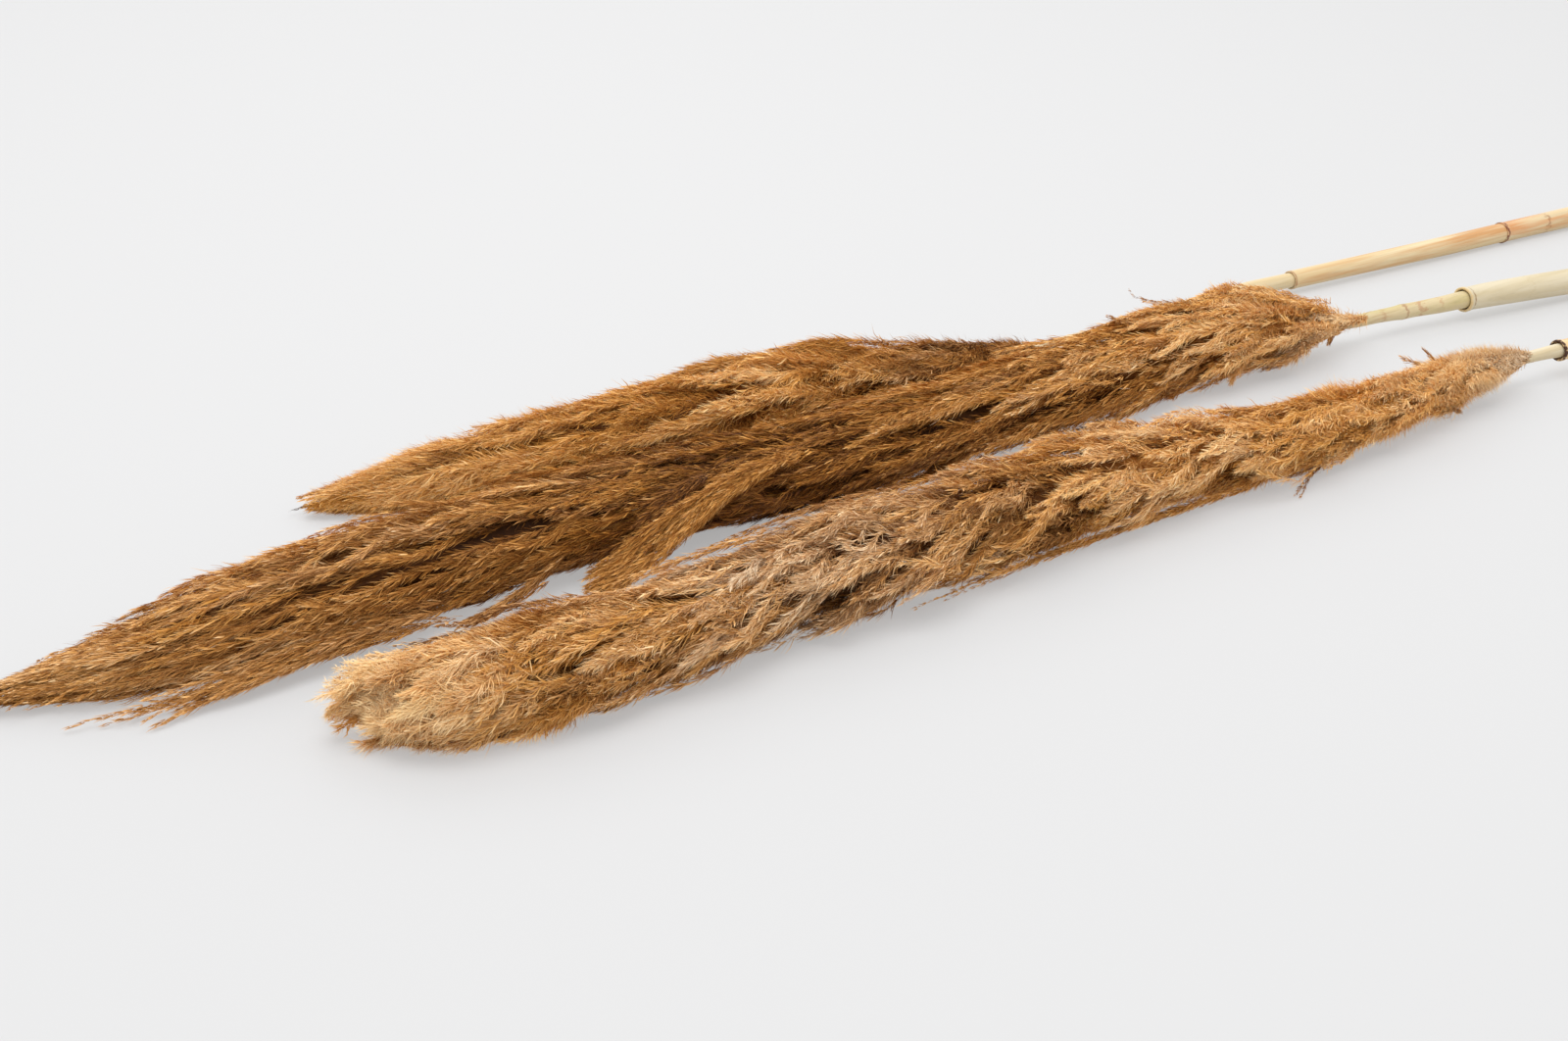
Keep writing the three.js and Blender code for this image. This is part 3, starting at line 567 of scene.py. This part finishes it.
spray("front", [(704, 642, 15), (691, 638, 9), (681, 640, 4), (669, 641, 1.2)], (2.5, 0.5), 4, 190, 6, 18, 0.7, 0.60, wool=0.2)
spray("front", [(845, 664, 19), (834, 671, 22), (830.6, 679, 29)], (0.8, 0.2), 2, 80, 4, 18, 0.55, 0.52)
spray("front", [(836, 668, 18), (828, 679, 21), (824, 688, 23)], (0.8, 0.2), 2, 80, 4, 18, 0.6, 0.56)
spray("front", [(812, 654, 14), (821, 650, 9), (829, 645, 3)], (0.8, 0.2), 2, 80, 4, 18, 0.5, 0.48)
spray("front", [(520, 668, 38), (467, 676, 35), (438, 678, 31), (414, 681, 26)], (1.6, 0.4), 3, 150, 5, 12, 0.55, 0.50, spread_out=1.2)
spray("front", [(440, 664, 36), (395, 671, 31), (373, 677, 25), (360, 686, 19)], (1.6, 0.4), 3, 150, 5.5, 12, 0.64, 0.64, spread_out=1.2)
spray("front", [(345, 661, 32), (318, 670, 31), (303, 673, 28), (291, 679, 28)], (1.5, 0.3), 3, 130, 5, 18, 0.5, 0.48, wool=0.1, spread_out=1.4)
spray("front", [(315, 656, 31), (293, 667, 28), (281, 674, 24), (270, 683, 21)], (1.5, 0.3), 3, 130, 5, 18, 0.5, 0.48, wool=0.1, spread_out=1.4)
for points in (
    [(285, 658, 27), (264, 664, 25), (255, 671, 23), (252, 680, 21)],
    [(285, 655, 26), (262, 662, 23), (253, 670, 20), (250, 680, 17)],
    [(280, 660, 24), (260, 668, 20), (251, 675, 16), (246, 683, 13)],
    [(280, 655, 24), (258, 664, 17), (252, 672, 11), (247, 679, 6)],
    [(278, 654, 20), (256, 661, 15), (244, 666, 11)],
):
    spray("front", points, (5.5, 2.0), 9, 170, 8, 26, 0.72, 1.08, wool=0.28, spread_out=2.8, shortest=0.5, width=0.24)
spray("front", [(290, 636, 16), (268, 640, 12), (256, 645, 9)], (6.0, 4.0), 12, 200, 10, 28, 0.7, 0.86, wool=0.35, spread_out=3.0, shortest=0.5, width=0.26)
spray("front", [(310, 636, 14), (285, 633, 10), (268, 636, 7)], (6.0, 4.0), 12, 200, 10, 28, 0.7, 0.84, wool=0.35, spread_out=3.0, shortest=0.5, width=0.26)
spray("front", [(292, 642, 12), (268, 648, 11), (250, 656, 9)], (7.5, 5.0), 20, 210, 9, 28, 0.76, 1.08, wool=0.3, spread_out=2.5, shortest=0.5, width=0.25)
spray("front", [(290, 648, 18), (266, 654, 17), (250, 662, 15)], (7.0, 5.0), 20, 210, 9, 28, 0.72, 1.12, wool=0.3, spread_out=2.5, shortest=0.5, width=0.25)
spray("front", [(272, 652, 23), (262, 655, 22), (255, 658, 20)], (8.0, 6.0), 24, 120, 8, 60, 0.70, 1.12, wool=0.55, spread_out=2.0, shortest=0.5, width=0.24)
spray("front", [(268, 649, 14), (259, 653, 13), (252, 657, 12)], (8.0, 6.0), 24, 120, 8, 60, 0.72, 1.12, wool=0.55, spread_out=2.0, shortest=0.5, width=0.24)
spray("front", [(318, 650, 27), (296, 651, 26), (274, 653, 23)], (7.5, 6.5), 18, 210, 9, 26, 0.80, 0.90, wool=0.25, spread_out=2.0, shortest=0.5, width=0.25)
spray("front", [(312, 642, 18), (288, 643, 15), (264, 648, 13)], (8.0, 6.0), 18, 210, 9, 26, 0.78, 0.94, wool=0.25, spread_out=2.0, shortest=0.5, width=0.25)
spray("front", [(330, 628, 8), (302, 628, 7), (276, 635, 5)], (6.5, 5.5), 16, 210, 9, 28, 0.94, 0.76, wool=0.3, spread_out=2.5, shortest=0.5, width=0.25)
spray("front", [(640, 668, 33), (622, 676, 33), (606, 682, 30)], (3.0, 2.0), 6, 200, 6, 24, 0.6, 0.74, wool=0.4, spread_out=2.0)
spray("front", [(610, 668, 34), (592, 677, 33), (574, 683, 29)], (3.0, 1.5), 5, 200, 6, 24, 0.6, 0.74, wool=0.4, spread_out=2.0)
spray("front", [(310, 632, 9), (297, 629, 4), (289, 631, 1.2)], (1.0, 0.3), 2, 90, 4, 16, 0.3, 0.3)


# ---------------------------------------------------------------- a dark core shell inside each plume, under the hairs: painted shade of the hollows between the locks
def underlay(stem):
    pl = PLUMES[stem]
    nq, na = 120, 44
    q = np.linspace(0.0, 0.97, nq)
    phi = np.linspace(0, TAU, na, endpoint=False)
    Q, A = np.meshgrid(q, phi, indexing="ij")
    rho = 0.52 + 0.05 * noise2(Q * 60, A * 4, 77) - 0.30 * smooth(0.9, 0.97, Q)
    P = pl.point(Q, A, rho)
    P[..., 2] = np.maximum(P[..., 2], 0.9)
    rows = np.array(TONES[stem])
    for i in range(nq - 1):
        names = branch_of(stem, np.full(na, (q[i] + q[i + 1]) / 2), phi + math.pi / na)
        hue = np.interp(q[i], rows[:, 0], rows[:, 1])
        light = np.interp(q[i], rows[:, 0], rows[:, 2])
        for name in np.unique(names):
            j = np.nonzero(names == name)[0]
            k = (j + 1) % na
            verts = np.stack([P[i, j], P[i, k], P[i + 1, k], P[i + 1, j]], 1).reshape(-1, 3)
            f = 4 * np.arange(len(j))[:, None] + np.array([0, 1, 2, 3])
            u0 = np.clip(hue + 0.03 * rng.normal(size=len(j)), 0.02, 0.95)
            # The core takes the plume's tone made much darker: painted shade seen through the gaps between the hairs.
            v0 = np.clip(light - 0.50 + 0.02 * rng.normal(size=len(j)), 0.03, 0.9)
            uv = np.stack([np.stack([u0, v0], -1), np.stack([u0 + 0.02, v0], -1),
                           np.stack([u0 + 0.02, v0 + 0.03], -1), np.stack([u0, v0 + 0.03], -1)], 1).reshape(-1, 2)
            keep(str(name), verts, f, np.zeros((0, 3), int), uv)


for stem in PLUMES:
    underlay(stem)


def place(name, verts, faces4, faces3, uvs, mats, node, slots=None, smooth_faces=False):
    """A mesh object from arrays (millimetres in the part's layout), riding the root in place of the node."""
    verts = (np.asarray(verts, float) - ORIGIN) * MM
    f4 = np.asarray(faces4, np.int32).reshape(-1, 4)
    f3 = np.asarray(faces3, np.int32).reshape(-1, 3)
    loops = np.concatenate([f4.reshape(-1), f3.reshape(-1)])
    starts = np.concatenate([4 * np.arange(len(f4)), 4 * len(f4) + 3 * np.arange(len(f3))]).astype(np.int32)
    totals = np.concatenate([np.full(len(f4), 4), np.full(len(f3), 3)]).astype(np.int32)
    me = bpy.data.meshes.new(name)
    me.vertices.add(len(verts))
    me.vertices.foreach_set("co", verts.astype(np.float32).reshape(-1))
    me.loops.add(len(loops))
    me.loops.foreach_set("vertex_index", loops)
    me.polygons.add(len(starts))
    me.polygons.foreach_set("loop_start", starts)
    me.polygons.foreach_set("loop_total", totals)
    for mat in mats:
        me.materials.append(mat)
    me.update(calc_edges=True)
    layer = me.uv_layers.new(name="OFBake")
    layer.data.foreach_set("uv", np.asarray(uvs, np.float32).reshape(-1))
    me.polygons.foreach_set("use_smooth", np.full(len(starts), smooth_faces))
    if slots is not None:
        me.polygons.foreach_set("material_index", np.asarray(slots, np.int32))
    me.validate(clean_customdata=False)
    obj = bpy.data.objects.new(name, me)
    bpy.context.scene.collection.objects.link(obj)
    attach(obj, "root")
    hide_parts(node)
    return obj


total = 0
for node in sorted(store):
    verts, f4, f3, uvs, n = [], [], [], [], 0
    for v, q4, t3, uv in store[node]:
        verts.append(v)
        uvs.append(uv)
        f4.append(q4 + n)
        f3.append(t3 + n)
        n += len(v)
    verts, uvs = np.concatenate(verts), np.concatenate(uvs)
    f4, f3 = np.concatenate(f4), np.concatenate(f3)
    stem = node.split("_")[0]
    place(f"{node}_hair", verts, f4, f3, uvs[np.concatenate([f4.reshape(-1), f3.reshape(-1)])], [HAIR[stem]], node)
    count = 2 * len(f4) + len(f3)
    total += count
    if count > 150000:
        print("large piece", node, count)
print("hair triangles", total, "pieces", len(store))


# ---------------------------------------------------------------- canes and leaf sheaths
def stalk_material(name, light, dark, streak, streak_at, marks, roughness=0.5, grain=0.35):
    """Straw with streaks along it. marks: (x in mm, half width in mm, colour, strength, raggedness in mm)."""
    m, tree, b = material(name, roughness, specular=0.35)
    where = tree.nodes.new("ShaderNodeTexCoord").outputs["Object"]
    x = tree.nodes.new("ShaderNodeSeparateXYZ")
    link(tree, where, x.inputs[0])
    x = x.outputs[0]
    fine = noise(tree, where, (14, 900, 900), 4, 0.6)
    broad = noise(tree, where, (7, 170, 170), 3, 0.6)
    colour = mix(tree, light, dark, maprange(tree, broad, 0.38, 0.66))
    colour = mix(tree, colour, streak, maths(tree, "MULTIPLY", maprange(tree, noise(tree, where, (4.5, 120, 120), 4, 0.65), streak_at, streak_at + 0.13), 0.85))
    colour = mix(tree, colour, tuple(int(c * 0.72) for c in dark), maths(tree, "MULTIPLY", maprange(tree, fine, 0.52, 0.78), grain))
    for at, half, tint, strength, ragged in marks:
        wander = maths(tree, "MULTIPLY", maths(tree, "SUBTRACT", noise(tree, where, (180, 420, 420), 3, 0.6), 0.5), ragged * 2 * MM)
        away = maths(tree, "ABSOLUTE", maths(tree, "SUBTRACT", maths(tree, "ADD", x, wander), (at - ORIGIN[0]) * MM))
        band = maprange(tree, away, half * 0.5 * MM, half * MM, 1.0, 0.0)
        broken = maprange(tree, noise(tree, where, (260, 380, 380), 3, 0.6), 0.36, 0.5)
        colour = mix(tree, colour, tint, maths(tree, "MULTIPLY", maths(tree, "MULTIPLY", band, broken), strength))
    link(tree, colour, b.inputs["Base Color"])
    return m


def along(rows, x0, x1, step=4.0):
    at = table(rows)
    x = np.arange(x0, x1, step)
    x = np.append(x, x1)
    return x, at(x)


def ring_mesh(rings, sides, u_turn, v_of):
    """Quads between successive rings; uv around and along."""
    rings = np.asarray(rings)
    n = len(rings)
    verts = rings.reshape(-1, 3)
    quads, uvs = [], []
    for i in range(n - 1):
        for j in range(sides):
            k = (j + 1) % sides
            quads.append((i * sides + j, (i + 1) * sides + j, (i + 1) * sides + k, i * sides + k))
            ua, ub = j / sides * u_turn, (j + 1) / sides * u_turn
            uvs += [(ua, v_of[i]), (ua, v_of[i + 1]), (ub, v_of[i + 1]), (ub, v_of[i])]
    return verts, quads, uvs


def circle(x, y, z, r, sides, wobble=None):
    a = np.arange(sides) * TAU / sides
    rr = r if wobble is None else r * (1 + wobble(x, a))
    return np.stack([np.full(sides, x), y + rr * np.cos(a), z + rr * np.sin(a)], -1)


PITH, pith_tree, pith_b = material("cut_pith", 0.8, specular=0.1)
pith_spots = noise(pith_tree, pith_tree.nodes.new("ShaderNodeTexCoord").outputs["Object"], (900, 1400, 1400), 3, 0.6)
link(pith_tree, mix(pith_tree, (232, 214, 170), (190, 160, 110), maprange(pith_tree, pith_spots, 0.4, 0.7)), pith_b.inputs["Base Color"])

CANES = {
    "back": (BACK_CANE, BACK_PLUME, 0.85, stalk_material("back_cane_straw", (221, 205, 170), (209, 186, 142), (198, 150, 96), 0.56, [])),
    "middle": (MIDDLE_CANE, MIDDLE_PLUME, 0.9, stalk_material(
        "middle_cane_straw", (208, 190, 150), (194, 178, 124), (190, 144, 100), 0.60,
        [(901, 1.6, (150, 92, 62), 0.6, 5.0), (884, 1.2, (166, 112, 76), 0.35, 6), (912, 2.5, (172, 112, 78), 0.5, 8), (926, 1.0, (176, 120, 80), 0.4, 6)])),
    "front": (FRONT_CANE, FRONT_PLUME, 0.9, stalk_material("front_cane_straw", (216, 205, 178), (206, 188, 152), (198, 162, 112), 0.62, [])),
}
for stem, (cane, plume, reach, mat) in CANES.items():
    sides = 28
    base, tip = plume[0][0], plume[-1][0]
    end = base + (tip - base) * reach
    rows = [r for r in cane] + [(r[0], r[1], r[2], lerp(cane[0][3], 0.9, (cane[0][0] - r[0]) / (cane[0][0] - end)))
                                for r in plume if end < r[0] < cane[0][0] - 6]
    pl = PLUMES[stem]
    y, z, _, _ = pl.at(np.array([reach]))
    rows.append((end, float(y[0]), float(z[0]), 0.9))
    x, (y, z, r) = along(rows, end, cane[-1][0])
    if stem == "middle":
        r = r + 0.35 * np.exp(-((x - 901) / 2.2) ** 2)
    rings = [circle(x[0], y[0], z[0], 0.05, sides)] + [circle(*row, sides) for row in zip(x, y, z, r)]
    v = np.concatenate([[0.05], 0.06 + 0.94 * (x - x[0]) / (x[-1] - x[0])])
    verts, quads, uvs = ring_mesh(rings, sides, 1.0, v)
    # the plain cut
    n = len(verts)
    rim = n - sides
    inner = circle(x[-1], y[-1], z[-1], r[-1] * 0.62, sides)
    verts = np.concatenate([verts, inner, [[x[-1], y[-1], z[-1]]]])
    slots = [0] * len(quads)
    for j in range(sides):
        k = (j + 1) % sides
        quads.append((rim + j, n + j, n + k, rim + k))
        uvs += [(j / sides, 0.0), (j / sides, 0.02), ((j + 1) / sides, 0.02), ((j + 1) / sides, 0.0)]
        slots.append(1)
    tris = []
    for j in range(sides):
        k = (j + 1) % sides
        tris.append((n + j, n + sides, n + k))
        uvs += [(j / sides, 0.02), ((j + 0.5) / sides, 0.045), ((j + 1) / sides, 0.02)]
        slots.append(1)
    place(f"{stem}_cane_smooth", verts, quads, tris, uvs, [mat, PITH], f"{stem}_cane", slots, True)

SHEATHS = {
    "back_upper_sheath": (BACK_CANE, 898, 1104, lambda x: lerp(0.60, 0.40, (x - 898) / 206), 0.35, 0.15, stalk_material(
        "back_upper_sheath_straw", (223, 206, 168), (213, 186, 140), (200, 142, 84), 0.50, [(898.6, 0.7, (140, 84, 52), 0.65, 0.8)])),
    "back_lower_sheath": (BACK_CANE, 1073, 1262, lambda x: lerp(0.60, 0.90, (x - 1073) / 189), 0.95, 0.10, stalk_material(
        "back_lower_sheath_straw", (221, 204, 168), (211, 184, 140), (205, 136, 76), 0.47,
        [(1074, 1.6, (120, 66, 40), 0.95, 3.0), (1110, 1.6, (150, 96, 60), 0.6, 6.0)])),
    "middle_sheath": (MIDDLE_CANE, 945, 1246, lambda x: lerp(1.2, 1.0, (x - 945) / 301), 0.9, 0.35, stalk_material(
        "middle_sheath_straw", (212, 200, 172), (200, 184, 148), (206, 172, 126), 0.60,
        [(944.0, 2.4, (214, 184, 128), 0.8, 0.5), (947.8, 0.8, (140, 104, 60), 0.8, 0.8), (990, 1.0, (170, 150, 100), 0.2, 9)], grain=0.2)),
    "front_sheath": (FRONT_CANE, 916, 1237, lambda x: lerp(1.1, 1.0, (x - 916) / 321), 0.9, 0.3, stalk_material(
        "front_sheath_straw", (232, 206, 160), (216, 182, 132), (206, 154, 100), 0.56,
        [(916.2, 1.1, (70, 42, 26), 1.0, 1.2), (930, 3, (170, 120, 76), 0.4, 8)])),
}
for name, (cane, x0, x1, wall, mouth, collar, mat) in SHEATHS.items():
    sides = 32
    x, (y, z, r) = along(cane, x0, x1)
    near = np.array([x0, x0 + 0.4, x0 + 1.2, x0 + 2.2, x0 + 3.2])
    at = table(cane)
    x = np.concatenate([near, x[x > x0 + 3.5]])
    y, z, r = at(x)
    thick = wall(x)
    widen = np.interp(x, [x0, x0 + 2.2, x0 + 3.6], [1, 1, 0])
    gap = 0.35 + (mouth - 0.35) * np.interp(x, [x0, x0 + 6], [1, 0])
    inside = r + gap
    outside = r + np.maximum(0.35, gap - 0.2) + thick + collar * widen
    outside = np.where(x <= x0 + 0.01, outside - 0.35 * thick, outside)
    inner = [circle(*row, sides) for row in zip(x[::-1], y[::-1], z[::-1], inside[::-1])]
    outer = [circle(*row, sides) for row in zip(x, y, z, outside)]
    rings = inner + outer + [inner[0]]
    v_in = np.linspace(0.0, 0.055, len(inner))
    v_out = 0.07 + 0.9 * (x - x[0]) / (x[-1] - x[0])
    verts, quads, uvs = ring_mesh(rings, sides, 1.0, np.concatenate([v_in, v_out, [0.995]]))
    place(f"{name}_smooth", verts, quads, [], uvs, [mat], name, None, True)

# ---------------------------------------------------------------- floor, light and camera
floor = bpy.data.meshes.new("floor")
floor.from_pydata([(-60, -60, -0.0003), (60, -60, -0.0003), (60, 60, -0.0003), (-60, 60, -0.0003)], [], [(0, 1, 2, 3)])
floor_obj = bpy.data.objects.new("floor", floor)
bpy.context.scene.collection.objects.link(floor_obj)
fm, _, fb = material("floor", 0.6, specular=0.1)
fb.inputs["Base Color"].default_value = (0.30, 0.30, 0.302, 1)
fb.inputs["Emission Color"].default_value = (1, 1, 1, 1)
fb.inputs["Emission Strength"].default_value = 0.375
floor.materials.append(fm)

world = bpy.data.worlds.new("studio")
bpy.context.scene.world = world
world.use_nodes = True
world.node_tree.nodes["Background"].inputs["Color"].default_value = (1, 1, 1, 1)
world.node_tree.nodes["Background"].inputs["Strength"].default_value = 0.95


def area(name, loc, to, size, power, colour=(1, 1, 1)):
    light = bpy.data.lights.new(name, "AREA")
    light.shape = "RECTANGLE"
    light.size, light.size_y = size
    light.energy = power
    light.color = colour
    obj = bpy.data.objects.new(name, light)
    obj.location = loc
    obj.rotation_euler = (Vector(to) - Vector(loc)).to_track_quat("-Z", "Y").to_euler()
    bpy.context.scene.collection.objects.link(obj)
    return obj


area("key", (-0.35, -0.15, 2.1), (-0.05, 0.0, 0.0), (1.9, 1.5), 27)
area("rim", (0.4, 1.5, 1.5), (0.0, 0.0, 0.0), (1.4, 1.4), 10)

TURN = math.radians(33.5)
PITCH = math.radians(25)
cam = bpy.data.cameras.new("camera")
cam.lens = 50
cam.sensor_width = 36
cam.sensor_fit = "HORIZONTAL"
cam.clip_start = 0.01
cam_obj = bpy.data.objects.new("camera", cam)
cam_obj.location = (-ORIGIN[0] * MM, -ORIGIN[1] * MM, 0.410)
ahead = Vector((math.sin(TURN) * math.cos(PITCH), math.cos(TURN) * math.cos(PITCH), -math.sin(PITCH)))
cam_obj.rotation_euler = ahead.to_track_quat("-Z", "Y").to_euler()
bpy.context.scene.collection.objects.link(cam_obj)
bpy.context.scene.camera = cam_obj
bpy.context.scene.view_settings.view_transform = "Standard"
